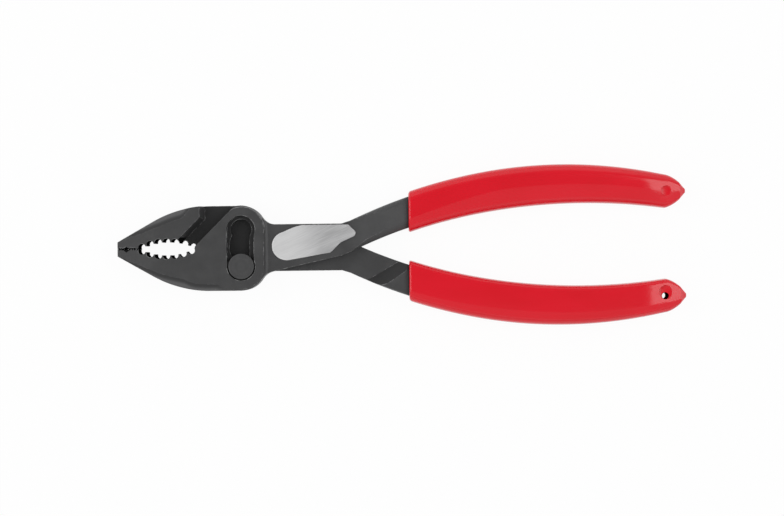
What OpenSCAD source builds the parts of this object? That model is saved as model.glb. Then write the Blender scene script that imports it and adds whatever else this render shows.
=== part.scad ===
// Slip joint pliers, nominal 8 inch: two lapped forgings, a flatted rivet in a two-seat slot, dipped grips.
// +X runs from the jaws to the handles, +Y across the tool, +Z up from the face that it lies on.
// The origin is on the rivet's axis, in the plane that the tool lies on, with the jaws closed.

/* [Overall] */
// Rivet axis to the tip of the nose
jaw_reach = 44.3; // [42:0.1:50]
// Rivet axis to the ends of the handles
handle_reach = 159.7; // [145:0.1:185]
// Thickness of the lapped joint, both forgings together
stack_t = 10.4; // [9:0.1:12.5]

/* [Joint] */
// Distance between the slot's two seats
slip_travel = 13.2; // [11:0.1:14.5]
// Radius of the rivet shank
shank_r = 3.7; // [3.1:0.05:4]
// Radial running clearance of the shank in its bore and seats
shank_clearance = 0.05; // [0.02:0.01:0.1]
// Gap between the two lapped faces
lap_gap = 0.1; // [0.05:0.01:0.3]
// Radius of the path that the rivet takes from seat to seat
swing_r = 70; // [60:1:84]
// Steel round each seat, from the seat's centre to the outline
eye_r = 8.65; // [8:0.05:10]
// How deep the slanted flat cuts into the round of the eye
eye_flat_cut = 1.15; // [0.1:0.05:1.6]

/* [Rivet] */
// Radius of the rivet head
head_r = 4.6; // [4.2:0.05:4.9]
// Thickness of the rivet head
head_t = 2; // [1.4:0.1:2.4]
// Width of the shank over its two flats
flats_w = 5.7; // [4.6:0.1:6]
// Radius of the staked tail
tail_r = 4.7; // [4.3:0.05:5]

/* [Jaws] */
// Width of the nose over both jaws
nose_w = 5.1; // [4:0.1:7]
// Angle of the straight flank behind the nose
flank_angle = 29.7; // [27:0.1:33]
// Distance ahead of the rivet where the flank's arc meets the straight side
shoulder_reach = 11; // [9:0.1:13]
// Gap between the closed jaw faces
parting_gap = 0.16; // [0.1:0.02:0.3]
// Length of the toothed mouth, over the tooth line
mouth_len = 20; // [18:0.1:22]
// Height of the toothed mouth between the tooth tips
mouth_h = 4.7; // [4.4:0.1:5.5]
// Radius of one tooth notch
notch_r = 1.3; // [1:0.05:1.4]
// Pitch of the fine serrations at the nose
serration_pitch = 0.76; // [0.7:0.01:1]

/* [Handles] */
// Radius of the handle's bow
bow_r = 185; // [170:1:230]
// Distance from the tool's middle line to the handle's centre at the top of its bow
bow_h = 21.8; // [20:0.1:26]
// Width of the steel handle
tang_w = 11.2; // [10:0.1:12.5]
// Thickness of the steel handle
tang_t = 7.2; // [6.4:0.1:7.6]
// Width of the neck over both forgings
neck_w = 16.8; // [15.6:0.1:18]

/* [Grips] */
// Distance from the rivet axis to the front of the grips
grip_start = 60.1; // [58:0.1:66]
// Thickness of the dipped vinyl
vinyl_t = 1.6; // [1.2:0.1:2]
// Diameter of the lanyard hole
lanyard_d = 2.4; // [2:0.1:3]

/* [Hidden] */
steel = [0.29, 0.29, 0.3];
rivet_steel = [0.33, 0.33, 0.34];
vinyl_red = [0.84, 0.13, 0.17];
$fn = 96;
// One overrun for all cuts
over = 4;

// Joint: the near seat holds the rivet at rest, the far seat is the wide setting
lap_z = stack_t / 2;
seat_y = slip_travel / 2;
seat_r = shank_r + shank_clearance;
swing_x = sqrt(swing_r * swing_r - seat_y * seat_y);
head_h = seat_y + eye_r;
flats_clearance = 0.3;
waist_r = flats_w / 2 + flats_clearance;
// Bay on the jaw side of the waist, where the slot is wider than the shank
bay_clearance = 0.56;
bay_r = shank_r + bay_clearance;
bay_arc_r = 9;
bay_y = 0.5;
recess_clearance = 0.45;
recess_side_clearance = 0.25;
recess_r = head_r + recess_clearance;
recess_side_r = head_r + recess_side_clearance;
head_drop = 0.2;
head_seat_gap = 0.1;
recess_z = stack_t - head_drop - head_t - head_seat_gap;
tail_h = 1.2;
tail_clearance = 0.08;
head_edge = 0.15;

// Head of the forging: the face stands above the neck, with a slanted rim round the eye
eye_flat = eye_r - eye_flat_cut;
face_drop = 1;
shoulder_z = stack_t - face_drop;
rim_in = 0.5;
rim_r = eye_r - rim_in;
rim_back = 4;
hollow_r = 2.2;
hollow_x = rim_r + sqrt(pow(hollow_r, 2) - pow(hollow_r - face_drop, 2));
hollow_end = 262;

// Mouth, teeth and serrations
notch_count = 7;
notch_margin = 2.3;
notch_pitch = (mouth_len - notch_margin) / (notch_count - 1);
notch_out = 0.1;
mouth_set = 17.7;
mouth_x = mouth_set - jaw_reach;
mouth_arc_r = (pow(mouth_len / 2, 2) + pow(mouth_h / 2, 2)) / mouth_h;
serration_depth = 0.36;
serration_half_share = 0.8;
serration_half = serration_half_share * serration_pitch;
serration_margin = 1.1;
serration_end = mouth_set - mouth_len / 2 - serration_margin;
wire_notch = 0.7;
wire_notch_x = 3;
// The closing faces lean a little, so that no light shows between the closed jaws
closing_lean_share = 0.05;
closing_len = mouth_set - mouth_len / 2 + notch_r;
closing_spare = 0.2;
closing_rise = closing_lean_share * lap_z + closing_spare;

// Crown of the jaws: the faces fall away towards the nose
crown_r = 300;
crown_start = 15;

// Step wall that the other half's eye swings up to
wall_gap = 4.7;
wall_draft = 15;
wall_turn_x = 13.3;

// Neck and lap edge
neck_fillet_r = 6;
lap_edge_angle = 12.4;
rein_len = 24.1;
neck_end = grip_start - rein_len;
bevel_run = 10;
bevel_end = neck_end + bevel_run;
bevel_least_share = 0.12;

// Handle: an arc that passes the front of the grip at a set distance from the middle line
rein_h = 12.27;
bow_x = grip_start + sqrt(pow(bow_r, 2) - pow(bow_r - bow_h + rein_h, 2));
bow_tail = 7.7;
bow_hold = handle_reach - bow_tail;
belly_len = 74.7;
belly_x = handle_reach - belly_len;
tip_taper_share = 0.29;
tip_power = 1.5;
tip_len = 7.5;
tip_last = 85;
tip_steps = 6;
bow_steps = 14;
rein_steps = 8;
fillet_steps = 8;
lip_steps = 3;
lip_len = 1;
lip_share = 0.35;
// The dip runs thicker on a grip's sides than on its faces
side_cover_share = 1.125;

// Jog that carries the forging from its own layer to the full thickness of the handle
jog_angle = 60;
jog_run = 2.9;
jog_end = grip_start * cos(jog_angle) + (rein_h - tang_w / 2) * sin(jog_angle);
jog_start = jog_end - jog_run;

// Ground pad on the neck
pad_h = 0.4;
pad_gap = 1.1;
pad_start = hollow_x + pad_gap;
pad_over = 5;
pad_end = neck_end + pad_over;
pad_nose_r = 5.1;
pad_nose_y = 0.6;
pad_nose_first = 268;
pad_nose_last = 102;
pad_end_r = 1.3;
pad_corner = 2.6;
pad_corner_drop = 3.1;
pad_side_share = 0.95;
// Corners of the pad as shares of half the neck's width: from its start, from its end and back to its start
pad_top_shares = [[0.76, 0.79], [1, 0.88], [1.3, 0.95]];
pad_end_shares = [[0.63, 0.2], [1.08, -0.23]];
pad_low_shares = [[0.66, -0.54]];

// Lanyard hole and dimple: the hole passes the solid vinyl beyond the end of the steel
lanyard_set = 8;
lanyard_x = handle_reach - lanyard_set;
lanyard_wall = 1.5;
tang_end = lanyard_x - lanyard_d / 2 - lanyard_wall;
dimple_set = 6.6;
dimple_x = handle_reach - dimple_set;
dimple_r = 1.6;
dimple_depth = 0.4;
dimple_ball_r = (pow(dimple_r, 2) + pow(dimple_depth, 2)) / (2 * dimple_depth);

function arc(c, r, a0, a1, n) =
    [for (i = [0:n]) c + r * [cos(a0 + (a1 - a0) * i / n), sin(a0 + (a1 - a0) * i / n)]];

function ramp(x, x0, x1) = min(1, max(0, (x - x0) / (x1 - x0)));

function smooth(x, x0, x1) = let (t = ramp(x, x0, x1)) t * t * (3 - 2 * t);

function round_off(u, power) = pow(max(0, 1 - pow(u, power)), 1 / power);

// Flank of a jaw: a straight line from the nose, then an arc that meets the straight side of the head
flank_drop = head_h - nose_w / 2;
flank_run = jaw_reach - shoulder_reach;
flank_r = (flank_run * sin(flank_angle) - flank_drop * cos(flank_angle)) / (1 - cos(flank_angle));

function flank() = concat(
    [[-jaw_reach, -nose_w / 2]],
    arc([-shoulder_reach, flank_r - head_h], flank_r, 270 - flank_angle, 270, 14)
);

// Fillets between the eye and the neck
fillet_cy = neck_w / 2 + neck_fillet_r;
fillet_cx = sqrt(pow(eye_r + neck_fillet_r, 2) - pow(fillet_cy - seat_y, 2));
neck_start = fillet_cx * eye_r / (eye_r + neck_fillet_r);
lap_edge_x = fillet_cx - neck_fillet_r * sin(lap_edge_angle);
lap_edge_y = -fillet_cy + neck_fillet_r * cos(lap_edge_angle);

// Handle's centre line and half width, in the front half's own place
function bow_y(x) = bow_h - bow_r + sqrt(pow(bow_r, 2) - pow(min(x, bow_hold) - bow_x, 2));

function tang_half(x) =
    tang_w / 2 * (1 - tip_taper_share * pow(ramp(x, belly_x, handle_reach), 2));

function fillet_y(x) =
    fillet_cy - sqrt(pow(neck_fillet_r, 2) - pow(min(neck_fillet_r, max(0, fillet_cx - x)), 2));

function outer_y(x) = max(fillet_y(x), bow_y(x) + tang_half(x));

function lap_edge(x) = lap_edge_y + (x - lap_edge_x) * tan(lap_edge_angle);

function inner_y(x) = x < lap_edge_x
    ? -fillet_y(x)
    : max(x < grip_start ? lap_edge(x) : 0, bow_y(x) - tang_half(x));

// Half the forging's thickness: the full stack at the head, drawn down to the handle's own thickness
function half_t(x) = stack_t / 2 + (tang_t - stack_t) / 2 * ramp(x, neck_end, grip_start);

// Section of the forged handle as shares of its half width and half thickness, for a bevel of size b
function tang_share(b) = [
    [-1, 1 - 0.48 * b], [-1 + 0.025 * b, 1 - 0.4 * b], [-1 + 0.07 * b, 1 - 0.32 * b],
    [-1 + 0.22 * b, 1 - 0.17 * b], [-1 + 0.38 * b, 1 - 0.04 * b], [-1 + 0.5 * b, 1],
    [1 - 0.4 * b, 1], [1 - 0.28 * b, 1 - 0.03 * b], [1 - 0.16 * b, 1 - 0.1 * b],
    [1 - 0.09 * b, 1 - 0.19 * b], [1 - 0.04 * b, 1 - 0.3 * b], [1, 1 - 0.54 * b]
];

// Section of the dipped grip, softer than the steel under it: flats and round corners
flat_share_y = 0.46;
flat_share_z = 0.3;
corner_steps = 5;
function corner_share(side, first) = [for (i = [0:corner_steps]) let (a = first - 90 * i / corner_steps)
    [side * flat_share_y + (1 - flat_share_y) * cos(a), flat_share_z + (1 - flat_share_z) * sin(a)]];
grip_share = concat(corner_share(-1, 180), corner_share(1, 90));

function both_sides(top) = concat(top, [for (i = [len(top) - 1:-1:0]) [top[i][0], -top[i][1]]]);

// Sides between two neighbouring rings of n points, the first of them starting at point s
function sides(s, n) = [for (k = [0:n - 1]) let (a = s + k, b = s + (k + 1) % n)
    each [[a, b, b + n], [a, b + n, a + n]]];

// Solid loft through rings that run clockwise when seen from its far end
module loft(rings) {
    n = len(rings[0]);
    m = len(rings);
    polyhedron(
        points = [for (r = rings) each r],
        faces = concat(
            [[for (k = [n - 1:-1:0]) k]],
            [for (i = [0:m - 2]) each sides(i * n, n)],
            [[for (k = [0:n - 1]) (m - 1) * n + k]]
        )
    );
}

// Sleeve closed at its far end: an outer and an inner loft that share the rim at the mouth
module sleeve(outer, inner) {
    n = len(outer[0]);
    m = len(outer);
    w = len(inner);
    s = m * n;
    polyhedron(
        points = concat([for (r = outer) each r], [for (r = inner) each r]),
        faces = concat(
            [for (i = [0:m - 2]) each sides(i * n, n)],
            [[for (k = [0:n - 1]) (m - 1) * n + k]],
            [for (i = [0:w - 2]) for (f = sides(s + i * n, n)) [f[2], f[1], f[0]]],
            [[for (k = [n - 1:-1:0]) s + (w - 1) * n + k]],
            [for (k = [0:n - 1]) let (j = (k + 1) % n) each [[j, k, s + k], [j, s + k, s + j]]]
        )
    );
}

// Ring of a section at station x, between two edges and over a half thickness about the lap plane
function ring(x, low, high, half, share) =
    [for (p = share) [x, (low + high) / 2 + p[0] * (high - low) / 2, lap_z + p[1] * half]];

function tip_scale(x, x_end) = round_off(ramp(x, x_end - tip_len, x_end), tip_power);

// Stations from the start of the rounded tip to its end, closer together where it turns
function tip_stations(x_end) =
    [for (i = [0:tip_steps]) x_end - tip_len * (1 - sin(tip_last * i / tip_steps))];

// Stations of the steel under the grip, shared by the handle and by the sleeve's inside
function tang_stations() = concat(
    [for (i = [0:bow_steps - 1]) grip_start + (tang_end - tip_len - grip_start) * i / bow_steps],
    tip_stations(tang_end)
);

function tang_ring(x) = let (
    s = tip_scale(x, tang_end),
    c = (inner_y(x) + outer_y(x)) / 2,
    w = (outer_y(x) - inner_y(x)) / 2 * s,
    b = bevel_least_share + (1 - bevel_least_share) * smooth(x, neck_end, bevel_end)
) ring(x, c - w, c + w, half_t(x) * s, both_sides(tang_share(b)));

// Neck and handle of a forging, from inside the head to the handle's tip
module forged_lever() {
    loft([for (x = concat(
        [for (i = [0:fillet_steps - 1]) neck_start + (fillet_cx - neck_start) * i / fillet_steps],
        [fillet_cx],
        [for (i = [0:rein_steps - 1]) neck_end + (grip_start - neck_end) * i / rein_steps],
        tang_stations()
    )) tang_ring(x)]);
}

function grip_ring(x) = let (
    lip = lip_share + (1 - lip_share) * sqrt(1 - pow(1 - ramp(x, grip_start, grip_start + lip_len), 2)),
    t = vinyl_t * lip,
    s = tip_scale(x, handle_reach)
) ring(
    x,
    bow_y(x) - (tang_half(x) + side_cover_share * t) * s,
    bow_y(x) + (tang_half(x) + side_cover_share * t) * s,
    (tang_t / 2 + t) * s,
    both_sides(grip_share)
);

function grip_top(x) = lap_z + (tang_t / 2 + vinyl_t) * tip_scale(x, handle_reach);

// Dipped sleeve on the handle, with a rounded lip at its mouth
module grip_sleeve() {
    bow_start = grip_start + lip_len;
    bow_end = handle_reach - tip_len;
    sleeve(
        [for (x = concat(
            [for (i = [0:lip_steps - 1]) grip_start + lip_len * (1 - cos(90 * i / lip_steps))],
            [for (i = [0:bow_steps - 1]) bow_start + (bow_end - bow_start) * i / bow_steps],
            tip_stations(handle_reach)
        )) grip_ring(x)],
        [for (x = tang_stations()) tang_ring(x)]
    );
}

// Outline of the head and jaw, solid across the mouth
module head_outline() {
    flat_turn = acos(eye_flat / eye_r);
    flat_foot = -(eye_flat * sqrt(2) + seat_y);
    polygon(concat(
        flank(),
        arc([0, -seat_y], eye_r, 270, 360, 12),
        arc([0, seat_y], eye_r, 0, 135 - flat_turn, 14),
        [[flat_foot, 0], [-jaw_reach + closing_len, closing_rise], [-jaw_reach, closing_rise]]
    ));
}

// Ring round both seats, at a distance from them
function seat_ring(r, z) = [for (p = concat(
    arc([0, -seat_y], r, 180, 360, 16),
    arc([0, seat_y], r, 0, 180, 16)
)) [p[0], p[1], z]];

// Cut that leaves the eye standing above the neck, with a rim that runs out in a hollow fillet
module neck_cut() {
    first = acos((hollow_r - face_drop) / hollow_r);
    hollow = arc([hollow_x, shoulder_z + hollow_r], hollow_r, 270 - first, hollow_end, 5);
    difference() {
        union() {
            translate([0, -head_h - over, shoulder_z])
                cube([grip_start, 2 * (head_h + over), face_drop + over]);
            translate([-rim_back, 0, shoulder_z])
                cube([rim_back + eye_r, head_h + over, face_drop + over]);
        }
        loft(concat(
            [seat_ring(rim_r - cos(first) * over, stack_t + sin(first) * over)],
            [for (p = hollow) seat_ring(p[0], p[1])],
            [seat_ring(hollow_x, shoulder_z), seat_ring(hollow_x, shoulder_z - over)]
        ));
    }
}

// Everything ahead of a given distance and above the crowned face of the jaws
module crown_cut() {
    difference() {
        translate([-jaw_reach - over, -head_h - over, lap_z])
            cube([jaw_reach + over - crown_start, 2 * (head_h + over), lap_z + over]);
        translate([-crown_start, head_h + 2 * over, stack_t - crown_r])
            rotate([90, 0, 0])
                cylinder(h = 2 * (head_h + 2 * over), r = crown_r, $fn = 360);
    }
}

function crown_z(x) =
    stack_t - crown_r + sqrt(pow(crown_r, 2) - pow(max(0, -x - crown_start), 2));

// Bevel along a jaw's outer edge: width shares of the half head height at shares of the jaw's reach
face_bevel_share = [[1, 0.02], [0.92, 0.04], [0.76, 0.11], [0.58, 0.19], [0.47, 0.22], [0.4, 0.16],
    [0.2, 0.16], [0.14, 0.12], [0.08, 0.01]];
lap_bevel_share = [[1, 0.02], [0.92, 0.03], [0.8, 0.13], [0.66, 0.2], [0.48, 0.21], [0.45, 0.15],
    [0.41, 0.01]];
bevel_depth_share = 0.5;
bevel_lead_share = 0.01;

function edge_y(x) = x > -shoulder_reach
    ? -head_h
    : let (
        run = -x - shoulder_reach,
        arc_run = flank_r * sin(flank_angle)
    ) run < arc_run
        ? flank_r - head_h - sqrt(pow(flank_r, 2) - pow(run, 2))
        : -nose_w / 2 - (jaw_reach + x) * tan(flank_angle);

module edge_bevel(shares) {
    bevel_steps = 22;
    first = (shares[0][0] + bevel_lead_share) * jaw_reach;
    last = shares[len(shares) - 1][0] * jaw_reach;
    table = [for (i = [len(shares) - 1:-1:0]) [shares[i][0], shares[i][1] * head_h]];
    loft([for (i = [0:bevel_steps]) let (
        x = -first + (first - last) * i / bevel_steps,
        w = lookup(-x / jaw_reach, table),
        y = edge_y(max(x, -jaw_reach)),
        z = crown_z(x)
    ) [
        [x, y - over, z - bevel_depth_share * (w + over)],
        [x, y - over, z + 2 * over],
        [x, y + w + over, z + 2 * over],
        [x, y + w + over, z + bevel_depth_share * over]
    ]]);
}

// Toothed mouth: a lens between the tooth tips, with a row of round notches on each side
module mouth_cut() {
    intersection() {
        translate([mouth_x, mouth_arc_r - mouth_h / 2, -over])
            cylinder(h = stack_t + 2 * over, r = mouth_arc_r, $fn = 180);
        translate([mouth_x, -(mouth_arc_r - mouth_h / 2), -over])
            cylinder(h = stack_t + 2 * over, r = mouth_arc_r, $fn = 180);
    }
    for (i = [0:notch_count - 1]) {
        dx = (i - (notch_count - 1) / 2) * notch_pitch;
        dy = sqrt(pow(mouth_arc_r, 2) - dx * dx) - mouth_arc_r + mouth_h / 2 + notch_out;
        for (side = [-1, 1])
            translate([mouth_x + dx, side * dy, -over])
                cylinder(h = stack_t + 2 * over, r = notch_r, $fn = 48);
    }
}

// Leans its children along Y with their height above the lap plane
module lean() {
    multmatrix([
        [1, 0, 0, 0],
        [0, 1, closing_lean_share, -closing_lean_share * lap_z],
        [0, 0, 1, 0],
        [0, 0, 0, 1]
    ])
        children();
}

// Everything past the jaw's closing face, ahead of the mouth
module closing_cut() {
    translate([-jaw_reach - over, -parting_gap / 2, -over])
        cube([over + closing_len, over, stack_t + 2 * over]);
}

// Fine serrations of the nose and the wire notch, cut into the jaw's closing face
module serration_cut() {
    translate([-jaw_reach, -parting_gap / 2, -over])
        linear_extrude(stack_t + 2 * over)
            for (x = [serration_pitch:serration_pitch:serration_end])
                polygon([
                    [x - serration_half, serration_depth],
                    [x, -serration_depth],
                    [x + serration_half, serration_depth]
                ]);
    translate([-jaw_reach + wire_notch_x, 0, -over])
        linear_extrude(stack_t + 2 * over)
            polygon([[-wire_notch, 0], [0, -wire_notch], [wire_notch, 0], [0, wire_notch]]);
}

// Pocket that the other half's eye and neck lie in: below the lap plane, between the step wall and the jog
module lap_pocket() {
    floor_z = lap_z + lap_gap / 2;
    jog_foot = jog_start + (floor_z + over) * jog_run / (tang_t / 2);
    difference() {
        rotate([0, 0, jog_angle - 90])
            translate([-handle_reach, 0, 0])
                rotate([90, 0, 90])
                    linear_extrude(2 * handle_reach)
                        polygon([
                            [-handle_reach, -over],
                            [-handle_reach, floor_z],
                            [jog_start, floor_z],
                            [jog_foot, -over]
                        ]);
        step_block();
    }
}

// Steel of the jaw that stays below the lap plane, bounded by the drafted step wall
module step_block() {
    wall_out = (eye_flat + wall_gap) * sqrt(2) + seat_y;
    size = 2 * jaw_reach;
    intersection() {
        translate([-wall_out, 0, lap_z])
            rotate([0, 0, 45])
                rotate([0, wall_draft, 0])
                    translate([-size, -size, -size / 2])
                        cube([size, 2 * size, size]);
        translate([-wall_turn_x, 0, lap_z])
            rotate([0, wall_draft, 0])
                translate([-size, -size, -size / 2])
                    cube([size, 2 * size, size]);
    }
}

// One forging as it leaves the die and the broach, in the front half's place
module forging() {
    difference() {
        union() {
            linear_extrude(stack_t)
                head_outline();
            forged_lever();
        }
        neck_cut();
        crown_cut();
        flip()
            crown_cut();
        edge_bevel(face_bevel_share);
        flip()
            mirror([0, 1, 0])
                edge_bevel(lap_bevel_share);
        mouth_cut();
        lean() {
            closing_cut();
            serration_cut();
        }
        lap_pocket();
    }
}

// Turns a piece over about the tool's middle line
module flip() {
    translate([0, 0, stack_t])
        rotate([180, 0, 0])
            children();
}

module to_frame() {
    translate([0, seat_y, 0])
        children();
}

// A band that follows the rivet's path, between two distances from it and over a height along Y
module swing_band(jaw_side, handle_side, height, z, h) {
    intersection() {
        difference() {
            translate([swing_x, 0, z])
                cylinder(h = h, r = swing_r + jaw_side, $fn = 720);
            translate([swing_x, 0, z - over])
                cylinder(h = h + 2 * over, r = swing_r - handle_side, $fn = 720);
        }
        translate([-swing_r, -height / 2, z - over])
            cube([swing_r + swing_x, height, h + 2 * over]);
    }
}

module slot_cut() {
    for (y = [-seat_y, seat_y]) {
        translate([0, y, -over])
            cylinder(h = stack_t + 2 * over, r = seat_r);
        translate([0, y, recess_z])
            cylinder(h = stack_t, r = recess_r);
    }
    swing_band(waist_r, waist_r, slip_travel, -over, stack_t + 2 * over);
    intersection() {
        translate([bay_arc_r - bay_r, bay_y, -over])
            cylinder(h = stack_t + 2 * over, r = bay_arc_r);
        translate([-bay_r - over, -seat_y, -over])
            cube([bay_r + over, slip_travel, stack_t + 2 * over]);
    }
    swing_band(recess_side_r, recess_side_r, slip_travel, recess_z, stack_t);
}

// Raised pad, ground flat, on the neck of the front half
module ground_pad() {
    half = neck_w / 2;
    end_y = pad_side_share * half - pad_corner_drop;
    translate([0, 0, lap_z + lap_gap])
        linear_extrude(shoulder_z + pad_h - lap_z - lap_gap)
            polygon(concat(
                arc([pad_start + pad_nose_r, pad_nose_y], pad_nose_r, pad_nose_first, pad_nose_last, 14),
                [for (p = pad_top_shares) [pad_start + p[0] * half, p[1] * half]],
                [[pad_end - pad_corner, pad_side_share * half]],
                arc([pad_end - pad_end_r, end_y], pad_end_r, 40, -70, 5),
                [for (p = pad_end_shares) [pad_end - p[0] * half, p[1] * half]],
                [for (p = pad_low_shares) [pad_start + p[0] * half, p[1] * half]]
            ));
}

module front_half() {
    color(steel)
        to_frame()
            difference() {
                union() {
                    forging();
                    ground_pad();
                }
                slot_cut();
            }
}

module back_half() {
    color(steel)
        to_frame()
            difference() {
                flip()
                    forging();
                translate([0, -seat_y, -over])
                    cylinder(h = stack_t + over, r = seat_r);
                translate([0, -seat_y, 0])
                    cylinder(h = tail_h, r1 = tail_r + tail_clearance, r2 = seat_r);
            }
}

module pivot_rivet() {
    color(rivet_steel) {
        translate([0, 0, stack_t - head_drop - head_t])
            cylinder(h = head_t - head_edge, r = head_r);
        translate([0, 0, stack_t - head_drop - head_edge])
            cylinder(h = head_edge, r1 = head_r, r2 = head_r - head_edge);
        intersection() {
            translate([0, 0, lap_z])
                cylinder(h = lap_z - head_drop - head_t, r = shank_r);
            translate([-flats_w / 2, -head_r, 0])
                cube([flats_w, 2 * head_r, stack_t]);
        }
        cylinder(h = lap_z, r = shank_r);
        cylinder(h = tail_h, r1 = tail_r, r2 = shank_r);
    }
}

module upper_grip() {
    color(vinyl_red)
        to_frame()
            difference() {
                grip_sleeve();
                translate([dimple_x, bow_y(dimple_x), grip_top(dimple_x) + dimple_ball_r - dimple_depth])
                    sphere(r = dimple_ball_r, $fn = 48);
            }
}

module lower_grip() {
    color(vinyl_red)
        to_frame()
            difference() {
                flip()
                    grip_sleeve();
                lanyard_cut();
            }
}

module lanyard_cut() {
    translate([lanyard_x, -bow_y(lanyard_x), -over])
        cylinder(h = stack_t + 2 * over, r = lanyard_d / 2);
}

front_half();
back_half();
pivot_rivet();
upper_grip();
lower_grip();
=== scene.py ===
"""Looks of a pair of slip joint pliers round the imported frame.

The finishes, the dipped grips and the rivet of the tool, and the floor, lamps and camera of the studio.
Sizes and places are in millimetres in the frame, unless a docstring says otherwise.
"""

import logging
import math
from dataclasses import dataclass, field
from enum import Enum

import bmesh
import bpy
from mathutils import Matrix, Vector


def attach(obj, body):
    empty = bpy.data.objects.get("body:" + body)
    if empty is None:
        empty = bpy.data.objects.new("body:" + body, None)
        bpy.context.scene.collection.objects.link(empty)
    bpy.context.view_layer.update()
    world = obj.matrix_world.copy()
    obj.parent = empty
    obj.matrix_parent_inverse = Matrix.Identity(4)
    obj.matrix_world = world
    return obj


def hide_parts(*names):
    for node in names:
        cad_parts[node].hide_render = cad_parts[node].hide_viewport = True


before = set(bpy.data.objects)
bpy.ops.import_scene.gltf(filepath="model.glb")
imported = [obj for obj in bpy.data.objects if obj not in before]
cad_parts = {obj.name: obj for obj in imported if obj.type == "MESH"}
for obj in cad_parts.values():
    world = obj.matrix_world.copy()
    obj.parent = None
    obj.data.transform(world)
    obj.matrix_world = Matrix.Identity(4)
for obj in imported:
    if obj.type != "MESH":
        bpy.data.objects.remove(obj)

MM = 0.001
WHITE = (1.0, 1.0, 1.0)
Colour = tuple[float, float, float]
Triple = tuple[float, float, float]
Oval = tuple[float, float, float, float]
Span = tuple[float, float]
Profile = list[tuple[float, float]]
log = logging.getLogger("pliers")


class Signal:
    """A value socket on which Python arithmetic adds Math nodes."""

    def __init__(self, sheet: "Sheet", socket: bpy.types.NodeSocket) -> None:
        """Wraps a socket of the given sheet."""
        self.sheet = sheet
        self.socket = socket

    def math(self, operation: str, *others: "Signal | float", first: bool = True) -> "Signal":
        """Adds one Math node.

        Args:
            operation: The node's operation.
            others: The other operands.
            first: Whether this signal is the first operand.

        Returns:
            The node's result.
        """
        values = [self, *others] if first else [*others, self]
        made = self.sheet.node("ShaderNodeMath", {"operation": operation}, dict(enumerate(values)))
        return Signal(self.sheet, made.outputs[0])

    def __add__(self, other: "Signal | float") -> "Signal":
        """This plus the other."""
        return self.math("ADD", other)

    def __radd__(self, other: float) -> "Signal":
        """The other plus this."""
        return self.math("ADD", other)

    def __sub__(self, other: "Signal | float") -> "Signal":
        """This less the other."""
        return self.math("SUBTRACT", other)

    def __rsub__(self, other: float) -> "Signal":
        """The other less this."""
        return self.math("SUBTRACT", other, first=False)

    def __mul__(self, other: "Signal | float") -> "Signal":
        """This times the other."""
        return self.math("MULTIPLY", other)

    def __rmul__(self, other: float) -> "Signal":
        """The other times this."""
        return self.math("MULTIPLY", other)

    def larger(self, other: "Signal | float") -> "Signal":
        """The larger of this and the other."""
        return self.math("MAXIMUM", other)

    def size(self) -> "Signal":
        """This without its sign."""
        return self.math("ABSOLUTE")

    def squared(self) -> "Signal":
        """This times itself."""
        return self.math("POWER", 2.0)

    def rise(self, low: float, high: float) -> "Signal":
        """Turns smoothly from 0 at low to 1 at high.

        Args:
            low: Value that gives 0.
            high: Value that gives 1.

        Returns:
            The eased value.
        """
        made = self.sheet.node(
            "ShaderNodeMapRange",
            {"interpolation_type": "SMOOTHSTEP"},
            {"Value": self, "From Min": low, "From Max": high},
        )
        return Signal(self.sheet, made.outputs[0])

    def fall(self, low: float, high: float) -> "Signal":
        """Turns smoothly from 1 at low to 0 at high."""
        return 1 - self.rise(low, high)


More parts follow.
